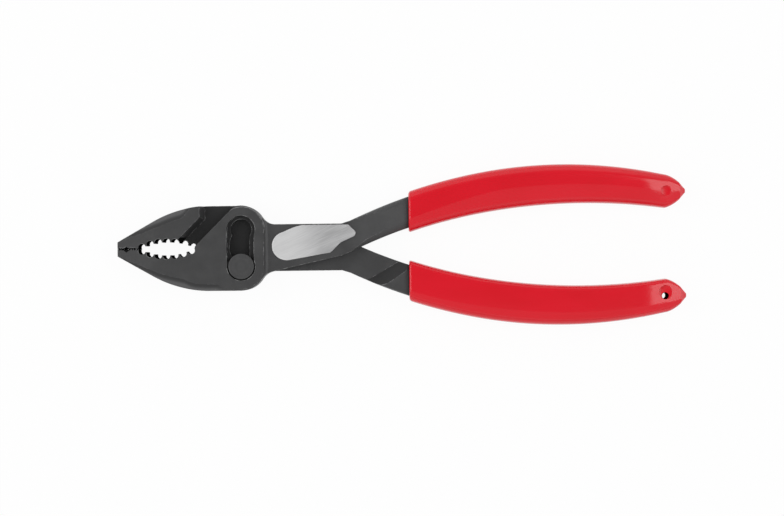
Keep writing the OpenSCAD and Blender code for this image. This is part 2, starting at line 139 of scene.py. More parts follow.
class Sheet:
    """A node tree, with one method that adds any node."""

    def __init__(self, tree: bpy.types.NodeTree) -> None:
        """Empties the tree, so that it holds this sheet's nodes only."""
        tree.nodes.clear()
        self.tree = tree

    def node(
        self,
        kind: str,
        settings: dict[str, object] | None = None,
        inputs: dict[str | int, object] | None = None,
    ) -> bpy.types.Node:
        """Adds a node.

        Args:
            kind: The node's type.
            settings: Its properties, set before its sockets are fed.
            inputs: Values, or sockets and signals to link, by socket name or number.

        Returns:
            The new node.
        """
        made = self.tree.nodes.new(kind)
        for name, value in (settings or {}).items():
            setattr(made, name, value)
        for name, value in (inputs or {}).items():
            source = value.socket if isinstance(value, Signal) else value
            if isinstance(source, bpy.types.NodeSocket):
                self.tree.links.new(source, made.inputs[name])
            else:
                made.inputs[name].default_value = source
        return made

    def place(self) -> bpy.types.NodeSocket:
        """Object coordinates, which stay with the piece."""
        return self.node("ShaderNodeTexCoord").outputs["Object"]

    def parts(self, vector: bpy.types.NodeSocket) -> tuple[Signal, Signal, Signal]:
        """Splits a vector.

        Args:
            vector: The vector's socket.

        Returns:
            Its three parts, as signals.
        """
        split = self.node("ShaderNodeSeparateXYZ", inputs={0: vector})
        x, y, z = (Signal(self, out) for out in split.outputs)
        return x, y, z

    def axes(self, place: bpy.types.NodeSocket) -> tuple[Signal, Signal, Signal]:
        """The three coordinates of a place, as signals in millimetres."""
        x, y, z = (part * (1 / MM) for part in self.parts(place))
        return x, y, z

    def own_normal(self) -> bpy.types.NodeSocket:
        """The normal of the flat face itself."""
        return self.node("ShaderNodeNewGeometry").outputs["True Normal"]

    def grain(self, place: bpy.types.NodeSocket, size: float, detail: float = 3.0) -> Signal:
        """Noise with grains of about a given size.

        Args:
            place: Coordinates in metres.
            size: Grain size in millimetres.
            detail: Number of finer layers.

        Returns:
            Noise from 0 to 1.
        """
        inputs = {"Vector": place, "Scale": 1 / (size * MM), "Detail": detail}
        return Signal(self, self.node("ShaderNodeTexNoise", inputs=inputs).outputs[0])

    def turned(self, place: bpy.types.NodeSocket, degrees: float, scale: Triple) -> bpy.types.NodeSocket:
        """Coordinates turned about Z and then scaled.

        Args:
            place: The coordinates to turn.
            degrees: Angle about Z.
            scale: Factor for each axis after the turn.

        Returns:
            The new coordinates.
        """
        turn = (0, 0, -math.radians(degrees))
        spun_place = self.node("ShaderNodeMapping", inputs={"Vector": place, "Rotation": turn}).outputs[0]
        return self.node("ShaderNodeMapping", inputs={"Vector": spun_place, "Scale": scale}).outputs[0]

    def blend(self, share: Signal, start: object, end: object) -> bpy.types.NodeSocket:
        """A colour between two others.

        Args:
            share: 0 for the first colour and 1 for the second.
            start: First colour, four numbers or a socket.
            end: Second colour, four numbers or a socket.

        Returns:
            The mixed colour.
        """
        made = self.node("ShaderNodeMix", {"data_type": "RGBA"}, {0: share, 6: start, 7: end})
        return made.outputs[2]

    def rounded(self, radius: float) -> bpy.types.NodeSocket:
        """The normal with edges rounded by a radius in millimetres."""
        return self.node("ShaderNodeBevel", {"samples": 8}, {"Radius": radius * MM}).outputs[0]

    def edges(self, rounded: bpy.types.NodeSocket, low: float, high: float) -> Signal:
        """A mask along the edges, where the rounded normal leaves the face's own.

        Args:
            rounded: The rounded normal.
            low: Turn of the normal, as 1 less its cosine, at which the mask starts.
            high: Turn at which it is full.

        Returns:
            The mask.
        """
        own = self.own_normal()
        turn = self.node("ShaderNodeVectorMath", {"operation": "DOT_PRODUCT"}, {0: rounded, 1: own})
        return (1 - Signal(self, turn.outputs["Value"])).rise(low, high)

    def bump(
        self, height: Signal, depth: float, normal: bpy.types.NodeSocket | None = None
    ) -> bpy.types.NodeSocket:
        """A normal bent by a height.

        Args:
            height: Height from 0 to 1.
            depth: Depth in millimetres that a height of 1 stands for.
            normal: The normal to bend, or none for the surface's own.

        Returns:
            The bent normal.
        """
        inputs: dict[str | int, object] = {"Height": height, "Distance": depth * MM}
        if normal is not None:
            inputs["Normal"] = normal
        return self.node("ShaderNodeBump", inputs=inputs).outputs[0]

    def layered(self, share: Signal, under: bpy.types.Node, over: bpy.types.Node) -> bpy.types.Node:
        """Lays one shader over another.

        Args:
            share: 0 for the lower shader and 1 for the upper.
            under: The lower shader.
            over: The upper shader.

        Returns:
            The mixed shader.
        """
        return self.node("ShaderNodeMixShader", inputs={0: share, 1: under.outputs[0], 2: over.outputs[0]})

    def matt(self, colour: Colour) -> bpy.types.Node:
        """A matt shader of one colour."""
        return self.node("ShaderNodeBsdfDiffuse", inputs={"Color": opaque(colour)})

    def surface(self, shader: bpy.types.Node) -> None:
        """Sends a shader to the tree's output."""
        self.node("ShaderNodeOutputMaterial", inputs={"Surface": shader.outputs[0]})


def opaque(colour: Colour) -> tuple[float, float, float, float]:
    """The colour with full alpha, as sockets want it."""
    return (*colour, 1.0)


def new_material(name: str) -> tuple[bpy.types.Material, Sheet]:
    """Makes an empty material and its sheet.

    Args:
        name: The material's name.

    Returns:
        The material, and the sheet of its nodes.
    """
    made = bpy.data.materials.new(name)
    made.use_nodes = True
    return made, Sheet(made.node_tree)


@dataclass(frozen=True)
class Zones:
    """Masks of a forging's zones.

    Attributes:
        painted_bevel_shade: Painted shade on the darker start of the jaws' bevels.
        rim: Painted highlight on the lighter outer part of the bevels, and painted sheen on the front
            forging's handle.
        painted_deep_shade: Painted shade on the lap, the slot, the slope behind the neck and the steel just
            ahead of the grip.
        painted_black_shade: Painted black shade on the walls of the teeth, the wire notch's mouth and the
            mouths of the serrations, which light hardly reaches.
        kept: Edges that stay unworn.
    """

    painted_bevel_shade: Signal
    rim: Signal
    painted_deep_shade: Signal
    painted_black_shade: Signal
    kept: Signal


@dataclass(frozen=True)
class GroundPanel:
    """The flat ground bright on top of a forging's neck, with a painted reflection that makes it brighter
    towards the head.
    """

    ahead: float = 10.8
    above: float = 9.72
    bright: Colour = (0.65, 0.65, 0.655)
    dull: Colour = (0.44, 0.44, 0.445)
    painted_gleam: Colour = (0.92, 0.92, 0.92)
    gleam_span: Span = (17.0, 32.0)
    gleam_share: float = 0.6
    stroke_turn: float = 24.0
    stroke_size: float = 0.16
    stroke_draw: Triple = (0.03, 1, 1)
    stroke_share: float = 0.55
    stroke_height: float = 0.6
    sweep_size: float = 2.4
    sweep_draw: Triple = (0.12, 1, 1)
    tone_span: Span = (0.3, 0.7)
    metallic: float = 0.55
    roughness: float = 0.36
    rough_swing: float = 0.1


@dataclass(frozen=True)
class Brow:
    """Painted shade in a dark band round the top of the eye, and the pale worn line along its inner side.

    Spans are distances from the band's centre, or, where named edge or half, from its inner side.
    """

    middle: tuple[float, float] = (0.5, 13.4)
    radius: float = 7.93
    foot: Span = (-1.2, 0.6)
    jaw_side: Span = (-6.9, -6.1)
    neck_side: Span = (6.1, 8.3)
    band_edge: Span = (-0.05, 0.15)
    band_share: float = 0.95
    band_cover: float = 0.8
    line_half: Span = (0.06, 0.2)
    line_patch: Span = (0.25, 0.5)
    line_wear: float = 0.6


@dataclass(frozen=True)
class PhosphateSteel:
    """Black phosphate on forged steel: satin, faintly mottled, worn lighter along its edges.

    A span says where a mask starts and where it is full. Spans named level are of the size of the face's
    normal along one axis, which is 1 where the face looks along it and 0 where it looks across it. Ovals
    and the notch are given by their centres and half lengths, the beads by their start, line and pitch,
    and the crown by where it starts and its radius.
    """

    name: str = "phosphate_steel"
    base: Colour = (0.046, 0.046, 0.047)
    bloom: Colour = (0.06, 0.06, 0.061)
    # Painted highlight: the lighter tone of the bevels' outer part and of the sheen on the handle.
    rim: Colour = (0.108, 0.108, 0.11)
    # Painted shade: the darker tone of the bevels' start and of the brow's band.
    skin: Colour = (0.028, 0.028, 0.0287)
    # Painted shade: the dark tone of the lap, the slot, the slope and the steel ahead of the grip.
    painted_deep_shade: Colour = (0.012, 0.012, 0.0123)
    # Painted shade: a black matt for the teeth walls, the wire notch and the serrations.
    painted_black_shade: Colour = (0.008, 0.008, 0.0082)
    worn: Colour = (0.3, 0.3, 0.303)
    fine_size: float = 0.35
    patch_size: float = 1.6
    cloud_size: float = 6.5
    cloud_span: Span = (0.32, 0.7)
    cloud_share: float = 0.7
    wear: float = 0.85
    wear_radius: float = 0.5
    wear_turn: Span = (0.012, 0.09)
    wear_patch: Span = (0.4, 0.66)
    sheltered_wear: float = 0.4
    kept_wear: float = 0.9
    metallic: float = 0.3
    roughness: float = 0.46
    fine_rough: float = 0.12
    cloud_rough: float = 0.08
    sheltered_rough: float = 0.35
    edge_radius: float = 0.28
    grain_depth: float = 0.02
    fine_height: float = 0.7
    patch_height: float = 0.5
    wall_level: Span = (0.5, 0.8)
    side_level: Span = (0.3, 0.5)
    oval_edge: Span = (0.9, 1.2)
    head_end: Span = (4.0, 11.0)
    lap: float = 5.2
    lap_reach: Span = (3.1, 3.5)
    lap_shade: float = 0.75
    mouth: Oval = (-26.6, 6.6, 12.0, 4.6)
    nose_end: Span = (-36.5, -35.5)
    seam_half: Span = (0.9, 1.1)
    slot: Oval = (0.2, 6.6, 6.4, 14.0)
    slot_rim: Span = (9.6, 10.0)
    slot_shade: float = 0.72
    notch: Oval = (-41.1, 6.5, 1.5, 1.2)
    notch_edge: Span = (0.8, 1.0)
    beads: Triple = (-38.8, 6.6, 0.91)
    bead_half: Span = (0.3, 0.42)
    bead_end: Span = (-36.6, -36.3)
    bead_wave: Span = (-0.4, 0.4)
    bead_slant: float = 0.6
    jaw_end: Span = (-9.0, -6.0)
    top: float = 10.4
    crown: tuple[float, float] = (15.0, 300.0)
    bevel_level: Span = (0.6, 0.75)
    flat_level: Span = (0.955, 0.985)
    fold_drop: Span = (0.25, 0.95)
    rim_drop: Span = (0.35, 1.1)
    bevel_share: float = 0.8
    handle: Span = (36.0, 46.0)
    # Share of the painted sheen along the front forging's handle.
    painted_handle_sheen: float = 0.0
    eye_flat: tuple[float, float] = (13.2, 7.5)
    eye_flat_half: Span = (0.5, 0.8)
    grip_mouth: Span = (57.6, 60.4)
    mouth_shade: float = 0.6
    slope_start: Span = (40.0, 42.0)
    slope_turn: Span = (0.24, 0.29)
    slope_level: tuple[Span, Span] = ((0.66, 0.7), (0.8, 0.84))
    slope_shade: float = 0.5
    brow: Brow | None = None
    panel: GroundPanel | None = None

    def make(self) -> bpy.types.Material:
        """Makes the material.

        Returns:
            The finished material.
        """
        material, sheet = new_material(self.name)
        place = sheet.place()
        fine = sheet.grain(place, self.fine_size, 4)
        cloud = sheet.grain(place, self.cloud_size, 3)
        patch = sheet.grain(place, self.patch_size, 3)
        soft = sheet.rounded(self.edge_radius)
        rubbed = sheet.edges(sheet.rounded(self.wear_radius), *self.wear_turn)
        worn = rubbed * (patch.rise(*self.wear_patch) * self.wear)
        shade = cloud.rise(*self.cloud_span) * self.cloud_share + fine * (1 - self.cloud_share)
        colour = sheet.blend(shade, opaque(self.base), opaque(self.bloom))
        zones = self._zones(sheet, place)
        # Painted highlight on the bevels' outer part and painted sheen on the handle.
        colour = sheet.blend(zones.rim, colour, opaque(self.rim))
        # Painted shade on the start of the bevels.
        colour = sheet.blend(zones.painted_bevel_shade, colour, opaque(self.skin))
        # Painted shade in the lap, the slot, on the slope and ahead of the grip.
        colour = sheet.blend(zones.painted_deep_shade, colour, opaque(self.painted_deep_shade))
        worn = worn * (1 - zones.painted_deep_shade * self.sheltered_wear) * (1 - zones.kept * self.kept_wear)
        if self.brow is not None:
            band, line = self._brow(sheet, place)
            # The brow's band is painted shade, in the darker tone of the bevels' start.
            colour = sheet.blend(band * self.brow.band_share, colour, opaque(self.skin))
            line = line * patch.rise(*self.brow.line_patch) * self.brow.line_wear
            worn = (worn * (1 - band * self.brow.band_cover)).larger(line)
        colour = sheet.blend(worn, colour, opaque(self.worn))
        swing = self.fine_rough * (fine - 0.5) + self.cloud_rough * (cloud - 0.5)
        roughness = self.roughness + swing + zones.painted_deep_shade * self.sheltered_rough
        metallic: Signal | float = self.metallic
        height = fine * self.fine_height + patch * self.patch_height
        if self.panel is not None:
            under = (roughness, metallic, height)
            colour, roughness, metallic, height = self._ground(sheet, place, colour, under)
        shader = sheet.node(
            "ShaderNodeBsdfPrincipled",
            inputs={
                "Base Color": colour,
                "Metallic": metallic,
                "Roughness": roughness,
                "Normal": sheet.bump(height, self.grain_depth, soft),
            },
        )
        # A black matt is laid over the steel as painted shade where light hardly reaches.
        sheet.surface(sheet.layered(zones.painted_black_shade, shader, sheet.matt(self.painted_black_shade)))
        return material

    def _zones(self, sheet: Sheet, place: bpy.types.NodeSocket) -> Zones:
        """Finds the forging's zones from its own coordinates and the turn of its faces.

        Args:
            sheet: The material's sheet.
            place: Object coordinates.

        Returns:
            The masks of all zones.
        """
        x, y, z = sheet.axes(place)
        ahead, aside, up = sheet.parts(sheet.own_normal())
        level = up.size()
        face = level.rise(*self.wall_level)
        lap = face * (z - self.lap).size().fall(*self.lap_reach) * x.fall(*self.head_end)
        slot = self._oval(x, y, self.slot) * z.fall(*self.slot_rim)

        seam = x.fall(*self.nose_end) * (y - self.mouth[1]).size().fall(*self.seam_half)
        seam = seam * aside.size().rise(*self.side_level)
        walls = (1 - face) * self._oval(x, y, self.mouth).larger(seam)
        beads = self._beads(x, y) * ahead.size().fall(*self.side_level)
        # Painted black shade on the teeth walls, the wire notch and the serrations.
        painted_black_shade = walls.larger(self._notch(x, y)).larger(beads)

        beyond = (-self.crown[0] - x).larger(0)
        drop = self.top - beyond * beyond * (0.5 / self.crown[1]) - z
        bevel = level.fall(*self.flat_level) * level.rise(*self.bevel_level) * x.fall(*self.jaw_end)
        # Painted shade where the bevels start.
        painted_bevel_shade = bevel * drop.fall(*self.fold_drop)
        # Painted highlight on the outer part of the bevels, and painted sheen along the handle.
        rim = (bevel * drop.rise(*self.rim_drop)).larger(x.rise(*self.handle) * self.painted_handle_sheen)

        flat = ((y - x - self.eye_flat[0]) * math.sqrt(0.5) - self.eye_flat[1]).size()
        kept = flat.fall(*self.eye_flat_half).larger(seam)
        steep = level.rise(*self.slope_level[0]) * level.fall(*self.slope_level[1])
        slope = (ahead * -1).rise(*self.slope_turn) * steep * x.rise(*self.slope_start)
        # Painted shade: the lap, the slot, the steel ahead of the grip's mouth and the slope behind the neck.
        shade = (lap * self.lap_shade).larger(slot * self.slot_shade)
        shade = shade.larger(x.rise(*self.grip_mouth) * self.mouth_shade).larger(slope * self.slope_shade)
        return Zones(painted_bevel_shade * self.bevel_share, rim * self.bevel_share, shade, painted_black_shade, kept)

    def _brow(self, sheet: Sheet, place: bpy.types.NodeSocket) -> tuple[Signal, Signal]:
        """Finds the brow's band of painted shade and its line.

        Args:
            sheet: The material's sheet.
            place: Object coordinates.

        Returns:
            The masks of the band and of the line.
        """
        brow = self.brow
        x, y, _ = sheet.axes(place)
        ahead, aside = x - brow.middle[0], y - brow.middle[1]
        off = (ahead.squared() + aside.squared()).math("POWER", 0.5) - brow.radius
        top = aside.rise(*brow.foot) * ahead.rise(*brow.jaw_side)
        band = off.rise(*brow.band_edge) * top * ahead.fall(*brow.neck_side)
        return band, off.size().fall(*brow.line_half) * top

    def _notch(self, x: Signal, y: Signal) -> Signal:
        """Mask of the painted black shade in the wire notch's diamond-shaped mouth.

        Args:
            x: Distance along the tool.
            y: Distance across it.

        Returns:
            The mask.
        """
        middle_x, middle_y, along, across = self.notch
        off = (x - middle_x).size() * (1 / along) + (y - middle_y).size() * (1 / across)
        return off.fall(*self.notch_edge)

    def _beads(self, x: Signal, y: Signal) -> Signal:
        """Mask of the painted black shade in the mouths of the fine serrations along the parting line at the
        nose.

        Args:
            x: Distance along the tool.
            y: Distance across it.

        Returns:
            The mask.
        """
        start, middle, pitch = self.beads
        off = y - middle
        along = (x - start - off * self.bead_slant) * (math.tau / pitch)
        band = off.size().fall(*self.bead_half) * x.fall(*self.bead_end)
        return band * along.math("COSINE").rise(*self.bead_wave)

    def _oval(self, x: Signal, y: Signal, oval: Oval) -> Signal:
        """Mask of an oval column.

        Args:
            x: Distance along the tool.
            y: Distance across it.
            oval: The column's centre and its half lengths.

        Returns:
            The mask.
        """
        middle_x, middle_y, along, across = oval
        off = ((x - middle_x) * (1 / along)).squared() + ((y - middle_y) * (1 / across)).squared()
        return off.fall(*self.oval_edge)

    def _ground(
        self,
        sheet: Sheet,
        place: bpy.types.NodeSocket,
        colour: bpy.types.NodeSocket,
        under: tuple[Signal, Signal | float, Signal],
    ) -> tuple[bpy.types.NodeSocket, Signal, Signal, Signal]:
        """Lays the ground panel over the phosphate.

        Args:
            sheet: The material's sheet.
            place: Object coordinates.
            colour: Colour of the phosphate.
            under: Its roughness, metallic and bump height.

        Returns:
            The colour, roughness, metallic and height of the whole surface.
        """
        panel = self.panel
        roughness, metallic, height = under
        x, _, z = sheet.axes(place)
        mask = z.math("GREATER_THAN", panel.above) * x.math("GREATER_THAN", panel.ahead)
        strokes = sheet.grain(sheet.turned(place, panel.stroke_turn, panel.stroke_draw), panel.stroke_size, 2)
        sweep = sheet.grain(sheet.turned(place, panel.stroke_turn, panel.sweep_draw), panel.sweep_size, 2)
        tone = strokes * panel.stroke_share + sweep * (1 - panel.stroke_share)
        bare = sheet.blend(tone.rise(*panel.tone_span), opaque(panel.dull), opaque(panel.bright))
        # Painted reflection: the panel is whitened towards the head.
        bare = sheet.blend(x.fall(*panel.gleam_span) * panel.gleam_share, bare, opaque(panel.painted_gleam))
        mixed = sheet.blend(mask, colour, bare)
        swing = panel.rough_swing * (strokes - 0.5)
        shine = roughness + mask * (panel.roughness - roughness + swing)
        metal = metallic + mask * (panel.metallic - metallic)
        return mixed, shine, metal, height + mask * (strokes * panel.stroke_height - height)


@dataclass(frozen=True)
class TurnedSteel:
    """The rivet's face: turned, with faint rings, blackened with the rest."""

    name: str = "turned_steel"
    base: Colour = (0.052, 0.052, 0.053)
    bloom: Colour = (0.07, 0.07, 0.071)
    metallic: float = 0.3
    roughness: float = 0.42
    rough_swing: float = 0.12
    ring_pitch: float = 0.3
    ring_share: float = 0.1
    ring_height: float = 0.2
    fine_size: float = 0.3
    fine_share: float = 0.35
    cloud_size: float = 3.0
    cloud_share: float = 0.55
    shade_span: Span = (0.25, 0.8)
    edge_radius: float = 0.2
    grain_depth: float = 0.012

    def make(self) -> bpy.types.Material:
        """Makes the material.

        Returns:
            The finished material.
        """
        material, sheet = new_material(self.name)
        place = sheet.place()
        rings = sheet.node(
            "ShaderNodeTexWave",
            {"wave_type": "RINGS", "rings_direction": "Z"},
            {"Vector": place, "Scale": 1 / (20 * self.ring_pitch * MM), "Distortion": 0.6, "Detail": 1.5},
        )
        turned = Signal(sheet, rings.outputs["Fac"])
        fine = sheet.grain(place, self.fine_size, 3)
        cloud = sheet.grain(place, self.cloud_size, 2)
        soft = sheet.rounded(self.edge_radius)
        shade = turned * self.ring_share + fine * self.fine_share + cloud * self.cloud_share
        height = turned * self.ring_height + fine * (1 - self.ring_height)
        shader = sheet.node(
            "ShaderNodeBsdfPrincipled",
            inputs={
                "Base Color": sheet.blend(
                    shade.rise(*self.shade_span), opaque(self.base), opaque(self.bloom)
                ),
                "Metallic": self.metallic,
                "Roughness": self.roughness + self.rough_swing * (fine - 0.5),
                "Normal": sheet.bump(height, self.grain_depth, soft),
            },
        )
        sheet.surface(shader)
        return material


@dataclass(frozen=True)
class DippedVinyl:
    """Glossy dipped vinyl, thick and smooth, with the faint waves that it sets with.

    A hole is given by its centre and radius, and has a dark wall.
    """

    name: str = "dipped_vinyl"
    base: Colour = (0.72, 0.002, 0.0145)
    deep: Colour = (0.69, 0.0015, 0.012)
    roughness: float = 0.17
    rough_swing: float = 0.06
    wave_size: float = 17.0
    wave_depth: float = 0.22
    wave_draw: Triple = (0.45, 1, 1)
    skin_size: float = 1.1
    skin_share: float = 0.012
    cloud_size: float = 9.0
    cloud_span: Span = (0.3, 0.7)
    pit: Colour = (0.035, 0.001, 0.002)
    pit_rim: Span = (0.02, 0.14)
    hole: Triple | None = None

    def make(self) -> bpy.types.Material:
        """Makes the material.

        Returns:
            The finished material.
        """
        material, sheet = new_material(self.name)
        place = sheet.place()
        run = sheet.node("ShaderNodeMapping", inputs={"Vector": place, "Scale": self.wave_draw}).outputs[0]
        wave = sheet.grain(run, self.wave_size, 1)
        skin = sheet.grain(place, self.skin_size, 2)
        cloud = sheet.grain(run, self.cloud_size, 2)
        shader = sheet.node(
            "ShaderNodeBsdfPrincipled",
            inputs={
                "Base Color": sheet.blend(
                    cloud.rise(*self.cloud_span), opaque(self.base), opaque(self.deep)
                ),
                "Roughness": self.roughness + self.rough_swing * (skin - 0.5),
                "Normal": sheet.bump(wave + skin * self.skin_share, self.wave_depth),
            },
        )
        if self.hole is not None:
            x, y, _ = sheet.axes(place)
            middle_x, middle_y, radius = self.hole
            away = (x - middle_x).squared() + (y - middle_y).squared()
            inside = away.fall(*((radius + past) ** 2 for past in self.pit_rim))
            shader = sheet.layered(inside, shader, sheet.matt(self.pit))
        sheet.surface(shader)
        return material


@dataclass(frozen=True)
class PaleFloor:
    """A white floor that stays nearly white to the camera and keeps a faint shadow."""

    name: str = "pale_floor"
    tone: Colour = (0.86, 0.86, 0.86)
    lift: float = 0.95

    def make(self) -> bpy.types.Material:
        """Makes the material.

        Returns:
            The finished material.
        """
        material, sheet = new_material(self.name)
        rays = sheet.node("ShaderNodeLightPath").outputs
        seen = Signal(sheet, rays["Is Camera Ray"])
        for name in ("Is Glossy Ray", "Is Transmission Ray"):
            seen = seen.larger(Signal(sheet, rays[name]))
        glow = sheet.node("ShaderNodeEmission", inputs={"Color": opaque(WHITE), "Strength": 1.0})
        sheet.surface(sheet.layered(seen * self.lift, sheet.matt(self.tone), glow))
        return material


class Body(Enum):
    """The bodies that pieces ride on."""

    FRONT = "front_lever"
    BACK = "back_lever"
    PIVOT = "pivot"


class Slot(Enum):
    """The material slots that the pieces carry."""

    FORGED = "forged_steel"
    RIVET = "rivet_steel"
    VINYL = "dipped_vinyl"


@dataclass
class Piece:
    """A piece of the object that stands for one CAD node."""

    name: str
    node: str
    body: Body
    slot: Slot

    def finish(
        self, mesh: bpy.types.Mesh, material: bpy.types.Material, sharp: float | None = None
    ) -> bpy.types.Object:
        """Makes the object from its mesh and ties it to the frame.

        Args:
            mesh: The mesh, in place.
            material: Its finish.
            sharp: Angle in degrees past which an edge stays sharp, or none to keep the mesh's own edges.

        Returns:
            The finished object.
        """
        mesh.materials.clear()
        mesh.materials.append(material)
        for face in mesh.polygons:
            face.use_smooth = True
        if sharp is not None:
            mesh.set_sharp_from_angle(angle=math.radians(sharp))
        made = bpy.data.objects.new(self.name, mesh)
        bpy.context.scene.collection.objects.link(made)
        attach(made, self.body.value)
        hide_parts(self.node)
        log.info("%s: %d faces, rides on %s", self.name, len(mesh.polygons), self.body.value)
        return made

    def cut(self, mesh: bpy.types.Mesh, tool: bmesh.types.BMesh) -> bpy.types.Mesh:
        """Cuts a tool out of a mesh.

        Args:
            mesh: The mesh to cut.
            tool: The cutter, which is used up.

        Returns:
            The cut mesh.
        """
        cutter_mesh = bpy.data.meshes.new("cutter")
        tool.to_mesh(cutter_mesh)
        tool.free()
        blank = bpy.data.objects.new("blank", mesh)
        cutter = bpy.data.objects.new("cutter", cutter_mesh)
        for thing in (blank, cutter):
            bpy.context.scene.collection.objects.link(thing)
        cut = blank.modifiers.new("cut", "BOOLEAN")
        cut.object = cutter
        cut.operation = "DIFFERENCE"
        cut.solver = "EXACT"
        bpy.context.view_layer.update()
        made = bpy.data.meshes.new_from_object(blank.evaluated_get(bpy.context.evaluated_depsgraph_get()))
        made.name = self.name
        for thing in (blank, cutter):
            bpy.data.objects.remove(thing)
        return made


@dataclass
class Forging(Piece):
    """One lever forging: the CAD node's own shape, welded, its curves smooth and its edges crisp.

    The slope from the lap up to the handle's full thickness is cut longer. The wire notch at the nose is
    drawn in, by the first share on the upper jaw and the second on the lower, so that no floor shows
    through it.
    """

    side: int = 1
    weld: float = 0.002
    neck_end: float = 37.0
    sharp_head: float = 13.0
    sharp_handle: float = 30.0
    middle_y: float = 6.6
    lap: float = 5.2
    tang_half_t: float = 3.6
    jog_angle: float = 60.0
    jog_foot: float = 32.95
    jog_crest: float = 37.05
    jog_block: Triple = (26.0, 9.0, 6.0)
    jog_shift: float = 0.3
    wire_notch: tuple[float, float] = (-41.3, 0.85)
    notch_shares: tuple[float, float] = (0.82, 0.5)
    notch_mouth: float = 0.4

    def build(self, material: bpy.types.Material) -> bpy.types.Object:
        """Builds the forging.

        Args:
            material: Its finish.

        Returns:
            The finished object.
        """
        bm = bmesh.new()
        bm.from_mesh(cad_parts[self.node].data)
        bmesh.ops.remove_doubles(bm, verts=bm.verts, dist=self.weld * MM)
        blank = bpy.data.meshes.new("blank")
        bm.to_mesh(blank)
        bm.free()
        bm = bmesh.new()
        bm.from_mesh(self.cut(blank, self._jog_tool()))
        bmesh.ops.remove_doubles(bm, verts=bm.verts, dist=self.weld * MM)
        self._draw_notch(bm)
        for edge in bm.edges:
            head = (edge.verts[0].co.x + edge.verts[1].co.x) / 2 < self.neck_end * MM
            sharp = self.sharp_head if head else self.sharp_handle
            edge.smooth = edge.calc_face_angle(math.pi) < math.radians(sharp)
        mesh = bpy.data.meshes.new(self.name)
        bm.to_mesh(mesh)
        bm.free()
        made = self.finish(mesh, material)
        even = made.modifiers.new("even_faces", "WEIGHTED_NORMAL")
        even.keep_sharp = True
        return made

    def _draw_notch(self, bm: bmesh.types.BMesh) -> None:
        """Draws the wire notch in.

        Args:
            bm: The forging's mesh.
        """
        notch_x, reach = self.wire_notch
        upper, lower = self.notch_shares
        for vert in bm.verts:
            ahead, aside = vert.co.x / MM - notch_x, vert.co.y / MM - self.middle_y
            if max(abs(ahead), abs(aside)) < reach:
                deep = upper if aside > 0 else lower
                vert.co.x = (notch_x + ahead * upper) * MM
                vert.co.y = (self.middle_y + aside * (deep if abs(aside) > self.notch_mouth else 1)) * MM

    def _jog_tool(self) -> bmesh.types.BMesh:
        """Makes the cutter that lengthens the slope from the lap to the handle's full thickness.

        Returns:
            The cutter, in place.
        """
        turn = math.radians(self.jog_angle)
        slope = math.atan2(self.tang_half_t, self.jog_crest - self.jog_foot)
        along = Vector((math.sin(turn), math.cos(turn), 0))
        level = Vector((math.cos(turn), -math.sin(turn), 0))
        up_slope = level * math.cos(slope) + Vector((0, 0, math.sin(slope)))
        out = along.cross(up_slope)
        if out.z < 0:
            out = -out
        reach = self.jog_foot / math.cos(turn)
        foot = Vector((reach, 0, 0)) - along * (math.sin(turn) * reach * self.jog_shift)
        tool = bmesh.new()
        bmesh.ops.create_cube(tool, size=1)
        axes = Matrix((along, up_slope, out)).transposed().to_4x4()
        middle = foot + up_slope * (self.jog_block[1] / 2) + out * (self.jog_block[2] / 2)
        bmesh.ops.transform(tool, matrix=axes @ Matrix.Diagonal((*self.jog_block, 1)), verts=tool.verts)
        bmesh.ops.translate(tool, vec=middle, verts=tool.verts)
        if self.side > 0:
            bmesh.ops.rotate(tool, cent=(0, 0, 0), matrix=Matrix.Rotation(math.pi, 3, "X"), verts=tool.verts)
        bmesh.ops.translate(tool, vec=(0, self.middle_y, self.lap), verts=tool.verts)
        bmesh.ops.scale(tool, vec=(MM, MM, MM), verts=tool.verts)
        bmesh.ops.recalc_face_normals(tool, faces=tool.faces)
        return tool


def spun(name: str, profile: Profile, steps: int) -> bmesh.types.BMesh:
    """Spins a profile about Z.

    Args:
        name: What it is, for the log.
        profile: Radius and height of each point in millimetres, from the axis back to the axis.
        steps: Number of steps in the full turn.

    Returns:
        A closed mesh about the origin.
    """
    bm = bmesh.new()
    points = [bm.verts.new((r * MM, 0, z * MM)) for r, z in profile]
    edges = [bm.edges.new(pair) for pair in zip(points, points[1:])]
    bmesh.ops.spin(
        bm,
        geom=[*points, *edges],
        cent=(0, 0, 0),
        axis=(0, 0, 1),
        angle=math.tau,
        steps=steps,
        use_merge=True,
    )
    bmesh.ops.remove_doubles(bm, verts=bm.verts, dist=0.0005 * MM)
    bmesh.ops.recalc_face_normals(bm, faces=bm.faces)
    log.debug("%s spun with %d faces", name, len(bm.faces))
    return bm


def corner(
    radius: float, height: float, round_off: float, start: float, end: float, steps: int = 4
) -> Profile:
    """Points of a rounded corner in a profile.

    Args:
        radius: Radius of the corner's centre from the axis.
        height: Height of the corner's centre.
        round_off: Radius of the rounding.
        start: Angle of the first point in degrees, 0 outwards and 90 up.
        end: Angle of the last point.
        steps: Number of steps.

    Returns:
        The points.
    """
    turns = [math.radians(start + (end - start) * i / steps) for i in range(steps + 1)]
    return [(radius + round_off * math.cos(a), height + round_off * math.sin(a)) for a in turns]


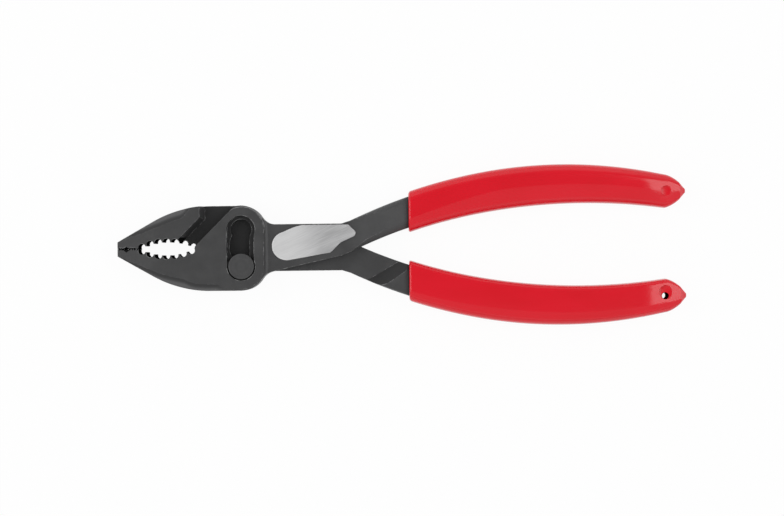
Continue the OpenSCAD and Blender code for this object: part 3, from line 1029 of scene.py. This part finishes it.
@dataclass
class Rivet(Piece):
    """The pivot rivet: a flat head with a softened rim, a flatted shank and a staked tail.

    The tail's dish is given by its depth, and by shares of the tail's radius at its rim, its bend and its
    floor.
    """

    top: float = 10.2
    head_r: float = 4.6
    head_t: float = 2.0
    rim: float = 0.22
    shank_r: float = 3.7
    lap: float = 5.2
    flats_half: float = 2.85
    tail_r: float = 4.7
    tail_h: float = 1.2
    tail_rim: float = 0.12
    dish: float = 0.25
    dish_shares: Triple = (0.62, 0.45, 0.2)
    dish_bend: float = 0.8
    sunk: float = 0.02
    steps: int = 96
    sharp: float = 40.0

    def build(self, material: bpy.types.Material) -> bpy.types.Object:
        """Builds the rivet.

        Args:
            material: Its finish.

        Returns:
            The finished object.
        """
        under = self.top - self.head_t
        head = spun(
            "head",
            [
                (0, self.top),
                (self.head_r - 3.5 * self.rim, self.top),
                *corner(self.head_r - self.rim, self.top - self.rim, self.rim, 90, 0),
                *corner(self.head_r - self.rim / 2, under + self.rim / 2, self.rim / 2, 0, -90, 2),
                (0, under),
            ],
            self.steps,
        )
        dish_rim, dish_side, dish_floor = self.dish_shares
        tail = spun(
            "tail",
            [
                (0, self.lap),
                *corner(self.shank_r - self.rim, self.lap - self.rim, self.rim, 90, 0, 2),
                (self.shank_r, self.tail_h),
                (self.tail_r, self.tail_rim),
                *corner(self.tail_r - self.tail_rim, self.tail_rim, self.tail_rim, 0, -90, 2),
                (dish_rim * self.tail_r, 0),
                (dish_side * self.tail_r, self.dish * self.dish_bend),
                (dish_floor * self.tail_r, self.dish),
                (0, self.dish),
            ],
            self.steps,
        )
        high, low = under + self.sunk, self.lap - self.sunk
        neck = spun("neck", [(0, high), (self.shank_r, high), (self.shank_r, low), (0, low)], self.steps)
        for side in (-1, 1):
            bmesh.ops.bisect_plane(
                neck,
                geom=[*neck.verts, *neck.edges, *neck.faces],
                plane_co=(side * self.flats_half * MM, 0, 0),
                plane_no=(side, 0, 0),
                clear_outer=True,
            )
            rim = [edge for edge in neck.edges if edge.is_boundary]
            bmesh.ops.contextual_create(neck, geom=rim)
        mesh = bpy.data.meshes.new(self.name)
        whole = bmesh.new()
        for part in (head, neck, tail):
            part.to_mesh(mesh)
            whole.from_mesh(mesh)
            part.free()
        bmesh.ops.recalc_face_normals(whole, faces=whole.faces)
        whole.to_mesh(mesh)
        whole.free()
        return self.finish(mesh, material, self.sharp)


@dataclass
class DippedGrip(Piece):
    """A dipped sleeve that follows the handle's bow, with a rolled lip at its mouth and a pointed end.

    The section is the upper half of the outline, from one side to the other, in shares of the half width
    and the half thickness. A crease is where one of its corners lies and how far that wanders towards the
    mouth. A hole is a station and a radius, and a dimple is a station, a radius, a depth and how far it
    lies towards the other handle.
    """

    side: int = 1
    section: Profile = field(default_factory=list)
    middle_y: float = 6.6
    lap: float = 5.2
    start: float = 60.1
    reach: float = 159.67
    bow_r: float = 185.0
    bow_h: float = 21.8
    bow_x: float = 118.711
    bow_tail: float = 7.7
    steel_half: float = 5.6
    steel_half_t: float = 3.6
    steel_end: float = 149.0
    belly: float = 74.7
    taper: float = 0.29
    vinyl: float = 1.6
    side_share: float = 1.114
    lip: float = 0.85
    cavity_in: float = 0.06
    tip_len: float = 7.5
    tip_power: float = 1.5
    nib: float = 0.72
    nib_len: float = 2.2
    fall_from: float = 145.3
    fall: float = 0.42
    fall_power: float = 1.4
    soften: float = 1.1
    crease: tuple[float, float] = (0, 0)
    crease_soft: float = 0.4
    crease_end: float = 96.0
    crease_reach: float = 0.1
    crease_face: float = 0.85
    hole: tuple[float, float] | None = None
    hole_flare: float = 0.15
    hole_spare: float = 2.0
    hole_steps: int = 40
    flare_lift: float = 0.12
    dimple: tuple[float, float, float, float] | None = None
    dimple_soft: float = 0.3
    dimple_spare: float = 1.0
    dimple_steps: int = 48
    sharp: float = 38.0
    dome_turn: float = 80.0
    dome_steps: int = 5
    bore_steps: int = 14
    lip_steps: int = 6
    length_steps: int = 44
    tip_steps: int = 14
    nib_steps: int = 5

    def centre(self, x: float) -> float:
        """Finds the handle's centre at a station.

        Args:
            x: The station.

        Returns:
            Y of the centre.
        """
        run = min(x, self.reach - self.bow_tail) - self.bow_x
        away = self.bow_h - self.bow_r + math.sqrt(self.bow_r**2 - run**2)
        return self.middle_y + self.side * away

    def steel_half_at(self, x: float) -> float:
        """Half the steel's width at a station."""
        share = min(1.0, max(0.0, (x - self.reach + self.belly) / self.belly))
        return self.steel_half * (1 - self.taper * share**2)

    def tip_share(self, x: float, end: float) -> float:
        """How much of the full section is left at a station near a rounded end."""
        share = min(1.0, max(0.0, (x - end + self.tip_len) / self.tip_len))
        return (1 - share**self.tip_power) ** (1 / self.tip_power)

    def station(self, x: float, half: float, half_t: float) -> Matrix:
        """Matrix that puts the unit section at a station.

        Args:
            x: The station.
            half: Half width there.
            half_t: Half thickness there.

        Returns:
            The matrix, in metres.
        """
        move = Matrix.Translation(Vector((x, self.centre(x), self.lap)) * MM)
        return move @ Matrix.Diagonal((1, self.side * half * MM, half_t * MM, 1))

    def wall(self, x: float, cover: float) -> Matrix:
        """Finds the outer wall at a station.

        Args:
            x: The station.
            cover: Thickness of the vinyl over the steel there.

        Returns:
            The matrix that puts the unit section there.
        """
        share = self.tip_share(x, self.reach)
        half = self.steel_half_at(x) + self.side_share * cover
        least = self.nib / half
        point = self.reach - self.nib_len
        if x > point:
            turn = (x - point) / self.nib_len
            share = self.tip_share(point, self.reach) * (1 - turn) + least * turn
        return self.station(x, half * share, (self.steel_half_t + cover) * self.face_share(x))

    def face_share(self, x: float) -> float:
        """Finds how much of the full thickness is left: a slow fall, then the short point.

        Args:
            x: The station.

        Returns:
            The share that is left.
        """
        run = max(0.0, x - self.fall_from) / (self.reach - self.fall_from)
        share = 1 - self.fall * run**self.fall_power
        point = self.reach - self.nib_len
        turn = max(0.0, x - point) / self.nib_len
        least = self.nib / self.steel_half_t
        return share * (1 - turn) + least * turn

    def stations(self) -> list[Matrix]:
        """Follows the wall from the cavity's closed end to the mouth, round the lip and to the point.

        Returns:
            The matrices that put the unit section at each station.
        """
        end = self.steel_end
        dome = [math.radians(self.dome_turn * i / self.dome_steps) for i in range(self.dome_steps, 0, -1)]
        straight = end - self.tip_len - self.start
        walk = [end - self.tip_len * (1 - math.sin(a)) for a in dome]
        walk += [self.start + straight * i / self.bore_steps for i in range(self.bore_steps, -1, -1)]
        inside = []
        for x in walk:
            share = self.tip_share(x, end)
            half = (self.steel_half_at(x) - self.cavity_in) * share
            inside.append(self.station(x, half, (self.steel_half_t - self.cavity_in) * share))
        arc = [math.pi / 2 * i / self.lip_steps for i in range(self.lip_steps + 1)]
        lip = [
            self.wall(self.start + self.lip * (1 - math.cos(a)), self.vinyl - self.lip * (1 - math.sin(a)))
            for a in arc
        ]
        first = self.start + self.lip
        last = self.reach - self.tip_len
        full = math.asin(1 - self.nib_len / self.tip_len)
        point = self.reach - self.nib_len
        run = [first + (last - first) * i / self.length_steps for i in range(1, self.length_steps + 1)]
        run += [
            self.reach - self.tip_len * (1 - math.sin(full * i / self.tip_steps))
            for i in range(1, self.tip_steps + 1)
        ]
        run += [point + self.nib_len * i / self.nib_steps for i in range(1, self.nib_steps + 1)]
        return inside + lip + [self.wall(x, self.vinyl) for x in run]

    def section_ring(self, bm: bmesh.types.BMesh) -> list[bmesh.types.BMEdge]:
        """Makes the unit section: its corners, softened by a vertex bevel.

        Args:
            bm: The mesh to make it in.

        Returns:
            The ring's edges.
        """
        wide, thick = self.steel_half + self.side_share * self.vinyl, self.steel_half_t + self.vinyl
        points = self.section + [(y, -z) for y, z in reversed(self.section)]
        corners = [bm.verts.new((0, y * wide, z * thick)) for y, z in points]
        bm.faces.new(corners)
        creases = [v for v in corners if abs(v.co.y / wide - self.crease[0]) < 0.01]
        others = set(corners) - set(creases)
        for group, offset, segments in ((creases, self.crease_soft, 3), (others, self.soften, 5)):
            bmesh.ops.bevel(
                bm,
                geom=list(group),
                offset=offset,
                segments=segments,
                profile=0.5,
                affect="VERTICES",
                material=-1,
                clamp_overlap=True,
            )
        bmesh.ops.delete(bm, geom=list(bm.faces), context="FACES_ONLY")
        bmesh.ops.scale(bm, vec=(1, 1 / wide, 1 / thick), verts=bm.verts)
        return list(bm.edges)

    def build(self, material: bpy.types.Material) -> bpy.types.Object:
        """Builds the grip.

        Args:
            material: Its finish.

        Returns:
            The finished object.
        """
        bm = bmesh.new()
        ring = self.section_ring(bm)
        path = self.stations()
        bmesh.ops.transform(bm, matrix=path[0], verts=bm.verts)
        first = list(ring)
        for before, after in zip(path, path[1:]):
            grown = bmesh.ops.extrude_edge_only(bm, edges=ring)["geom"]
            verts = [part for part in grown if isinstance(part, bmesh.types.BMVert)]
            bmesh.ops.transform(bm, matrix=after @ before.inverted(), verts=verts)
            ring = [part for part in grown if isinstance(part, bmesh.types.BMEdge) and part.is_boundary]
        for rim in (first, ring):
            bmesh.ops.contextual_create(bm, geom=rim)
        self._wander(bm)
        bmesh.ops.recalc_face_normals(bm, faces=bm.faces)
        mesh = bpy.data.meshes.new(self.name)
        bm.to_mesh(mesh)
        bm.free()
        if self.hole is not None:
            mesh = self.cut(mesh, self._hole_tool())
        if self.dimple is not None:
            mesh = self.cut(mesh, self._dimple_tool())
        return self.finish(mesh, material, self.sharp)

    def _wander(self, bm: bmesh.types.BMesh) -> None:
        """Moves the crease of each face sideways towards the mouth, as a hand dip leaves it.

        Args:
            bm: The grip's mesh.
        """
        share, shift = self.crease
        for vert in bm.verts:
            x, y, z = vert.co / MM
            half = self.steel_half_at(x) + self.side_share * self.vinyl
            away = self.side * (y - self.centre(x)) / half
            turn = min(1.0, max(0.0, (self.crease_end - x) / (self.crease_end - self.start)))
            outside = abs(z - self.lap) > self.crease_face * (self.steel_half_t + self.vinyl)
            if abs(away - share) < self.crease_reach and outside:
                vert.co.y += self.side * shift * half * turn**2 * (3 - 2 * turn) * MM

    def _hole_tool(self) -> bmesh.types.BMesh:
        """Makes the cutter of the lanyard hole, flared at both faces.

        Returns:
            The cutter, in place.
        """
        x, radius = self.hole
        face = (self.steel_half_t + self.vinyl) * self.face_share(x)
        flare = self.hole_flare
        wide = radius + flare
        bend = face - flare + self.flare_lift
        past = face + self.hole_spare
        profile = [
            (0, self.lap + past),
            (wide, self.lap + past),
            *corner(wide, self.lap + bend, flare, 90, 180),
            *corner(wide, self.lap - bend, flare, 180, 270),
            (wide, self.lap - past),
            (0, self.lap - past),
        ]
        tool = spun("hole", profile, self.hole_steps)
        bmesh.ops.translate(tool, vec=Vector((x, self.centre(x), 0)) * MM, verts=tool.verts)
        return tool

    def _dimple_tool(self) -> bmesh.types.BMesh:
        """Makes the round punch that presses the dimple, with a level floor.

        Returns:
            The punch, in place.
        """
        x, radius, depth, inward = self.dimple
        past = self.lap + self.steel_half_t + self.vinyl + self.dimple_spare
        face = self.lap + (self.steel_half_t + self.vinyl) * self.face_share(x + radius)
        floor = face - depth
        soft = self.dimple_soft
        profile = [
            (0, past),
            (radius, past),
            *corner(radius - soft, floor + soft, soft, 0, -90, 5),
            (0, floor),
        ]
        tool = spun("dimple", profile, self.dimple_steps)
        place = Vector((x, self.centre(x) - self.side * inward, 0))
        bmesh.ops.translate(tool, vec=place * MM, verts=tool.verts)
        return tool


@dataclass
class Softbox:
    """A rectangular studio lamp aimed at the tool, with its place, size and aim in metres."""

    name: str
    place: Triple
    size: tuple[float, float]
    radiance: float
    aim: Triple = (0.05, 0.006, 0)

    def build(self) -> bpy.types.Object:
        """Builds the lamp.

        Returns:
            The lamp's object.
        """
        lamp = bpy.data.lights.new(self.name, "AREA")
        lamp.shape = "RECTANGLE"
        lamp.size, lamp.size_y = self.size
        lamp.energy = self.radiance * math.pi * self.size[0] * self.size[1]
        made = bpy.data.objects.new(self.name, lamp)
        made.location = self.place
        made.rotation_euler = (Vector(self.aim) - Vector(self.place)).to_track_quat("-Z", "Y").to_euler()
        bpy.context.scene.collection.objects.link(made)
        return made


@dataclass
class Studio:
    """The floor, the lamps, the world and the camera above the tool.

    The floor's size and the camera's clipping distances are in metres, and its turn is in degrees.
    """

    air: float = 0.55
    overhead: float = 0.28
    overhead_from: Span = (0.6, 0.95)
    floor_size: float = 6.0
    floor_drop: float = 0.02
    aim: tuple[float, float] = (54.0, 2.42)
    height: float = 640.0
    turn: float = 0.663
    view_width: float = 284.87
    sensor: float = 36.0
    clip: Span = (0.05, 20.0)
    lamps: list[Softbox] = field(
        default_factory=lambda: [
            Softbox("key_box", (0.05, -0.62, 0.85), (2.2, 1.25), 0.33),
            Softbox("rim_box", (0.05, 1.05, 0.5), (2.2, 0.9), 0.4),
            Softbox("handle_box", (0.72, 0.17, 0.95), (0.6, 0.7), 2.6),
            Softbox("jaw_box", (-0.85, 0.1, 0.75), (0.7, 0.9), 2.3),
        ]
    )

    def build(self) -> None:
        """Builds the floor, the lamps, the world and the camera."""
        self._floor()
        self._camera()
        world = bpy.data.worlds.new("studio_air")
        bpy.context.scene.world = world
        world.use_nodes = True
        sheet = Sheet(world.node_tree)
        _, _, up = sheet.parts(sheet.node("ShaderNodeTexCoord").outputs["Generated"])
        strength = self.air + up.rise(*self.overhead_from) * (self.overhead - self.air)
        air = sheet.node("ShaderNodeBackground", inputs={"Color": opaque(WHITE), "Strength": strength})
        sheet.node("ShaderNodeOutputWorld", inputs={"Surface": air.outputs[0]})
        for lamp in self.lamps:
            lamp.build()
        bpy.context.scene.view_settings.view_transform = "Standard"

    def _floor(self) -> None:
        """Lays the floor just under the face that the tool lies on."""
        bm = bmesh.new()
        bmesh.ops.create_grid(bm, x_segments=1, y_segments=1, size=self.floor_size / 2)
        bmesh.ops.translate(bm, vec=(0, 0, -self.floor_drop * MM), verts=bm.verts)
        mesh = bpy.data.meshes.new("floor")
        bm.to_mesh(mesh)
        bm.free()
        mesh.materials.append(PaleFloor().make())
        floor = bpy.data.objects.new("floor", mesh)
        bpy.context.scene.collection.objects.link(floor)

    def _camera(self) -> None:
        """Hangs the camera over the tool, looking straight down."""
        lens = bpy.data.cameras.new("camera")
        lens.sensor_width = self.sensor
        lens.lens = self.sensor * self.height / self.view_width
        lens.clip_start, lens.clip_end = self.clip
        made = bpy.data.objects.new("camera", lens)
        made.location = (self.aim[0] * MM, self.aim[1] * MM, self.height * MM)
        made.rotation_euler = (0, 0, -math.radians(self.turn))
        bpy.context.scene.collection.objects.link(made)
        bpy.context.scene.camera = made


@dataclass
class Pliers:
    """The whole tool: its finishes, and the sections of its two grips."""

    upper_section: Profile = field(
        default_factory=lambda: [
            (-1, 0.28),
            (-0.94, 0.66),
            (-0.74, 0.89),
            (-0.02, 1.0),
            (0.4, 1.0),
            (0.62, 0.96),
            (0.8, 0.85),
            (0.94, 0.62),
            (1, 0.28),
        ]
    )
    lower_section: Profile = field(
        default_factory=lambda: [
            (-1, 0.3),
            (-0.97, 0.72),
            (-0.89, 0.92),
            (-0.76, 1.0),
            (0.4, 1.0),
            (0.74, 0.93),
            (0.93, 0.66),
            (1, 0.28),
        ]
    )

    def build(self) -> None:
        """Builds every piece in order."""
        ground = PhosphateSteel(
            name="phosphate_and_ground_steel", brow=Brow(), panel=GroundPanel(), painted_handle_sheen=0.32
        ).make()
        plain = PhosphateSteel().make()
        Forging("front_forging", "front_half", Body.FRONT, Slot.FORGED, side=1).build(ground)
        Forging("back_forging", "back_half", Body.BACK, Slot.FORGED, side=-1).build(plain)
        Rivet("rivet", "pivot_rivet", Body.PIVOT, Slot.RIVET).build(TurnedSteel().make())
        upper = DippedGrip(
            name="upper_dip",
            node="upper_grip",
            body=Body.FRONT,
            slot=Slot.VINYL,
            side=1,
            section=self.upper_section,
            crease=(-0.02, -0.32),
            dimple=(152.45, 1.95, 0.06, 0),
        )
        lower = DippedGrip(
            name="lower_dip",
            node="lower_grip",
            body=Body.BACK,
            slot=Slot.VINYL,
            side=-1,
            section=self.lower_section,
            crease=(0.4, 0.1),
            hole=(151.7, 1.2),
            dimple=(151.8, 2.5, 0.05, 1.3),
        )
        x, radius = lower.hole
        upper.build(DippedVinyl().make())
        lower.build(DippedVinyl(name="dipped_vinyl_holed", hole=(x, lower.centre(x), radius)).make())


def main() -> None:
    """Builds the tool and the studio."""
    logging.basicConfig(level=logging.INFO, format="%(name)s: %(message)s")
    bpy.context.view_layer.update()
    Pliers().build()
    Studio().build()
    log.info("boxes written")


if __name__ == "__main__":
    main()
